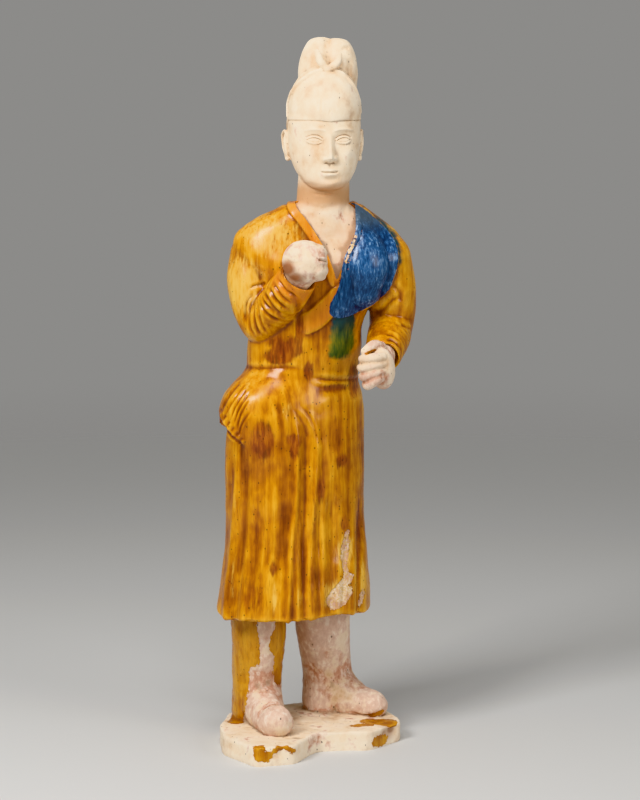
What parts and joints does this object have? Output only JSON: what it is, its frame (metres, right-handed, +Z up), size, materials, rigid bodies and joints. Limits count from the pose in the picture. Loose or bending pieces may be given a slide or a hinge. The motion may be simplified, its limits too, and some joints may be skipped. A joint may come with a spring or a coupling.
{
  "type": "glazed pottery groom figure",
  "caption": "Standing groom figure in glazed earthenware, one fist raised and one at the waist, on a low irregular slab that it is fired to.",
  "frame": {"origin": "middle of the underside of the slab, on the surface that it stands on", "axes": "+Z up through the figure, -Y towards the viewer who faces it, +X towards the figure's left hand"},
  "size_m": [0.1984, 0.1901, 0.6993],
  "materials": {
    "glazed_earthenware": "gloss"
  },
  "bodies": {
    "root": {"groom_figure": "glazed_earthenware"}
  },
  "joints": []
}
